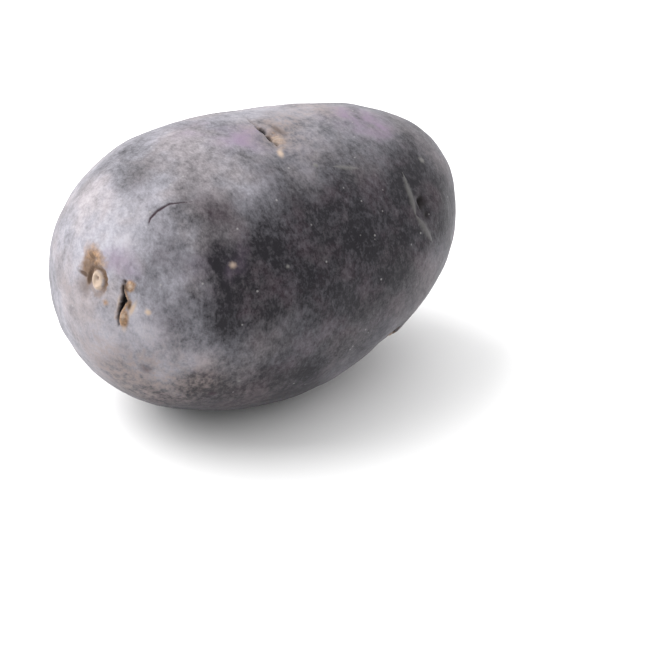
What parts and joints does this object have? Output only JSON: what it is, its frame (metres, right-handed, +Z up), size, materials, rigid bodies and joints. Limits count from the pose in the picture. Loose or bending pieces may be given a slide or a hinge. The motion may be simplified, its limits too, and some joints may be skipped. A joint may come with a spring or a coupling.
{
  "type": "purple potato",
  "caption": "Whole raw purple-skinned potato, a blunt oval tuber with corky eyes and a dusty skin, lying on its flattened side.",
  "frame": {"origin": "on the resting plane, under the middle of the potato's box", "axes": "+Z up; X along the potato, with the rose end, where the eyes crowd together, at -X and the stem end at +X; Y across it"},
  "size_m": [0.0952, 0.0636, 0.0628],
  "materials": {
    "potato_skin": "matte"
  },
  "bodies": {
    "root": {"potato": "potato_skin"}
  },
  "joints": []
}
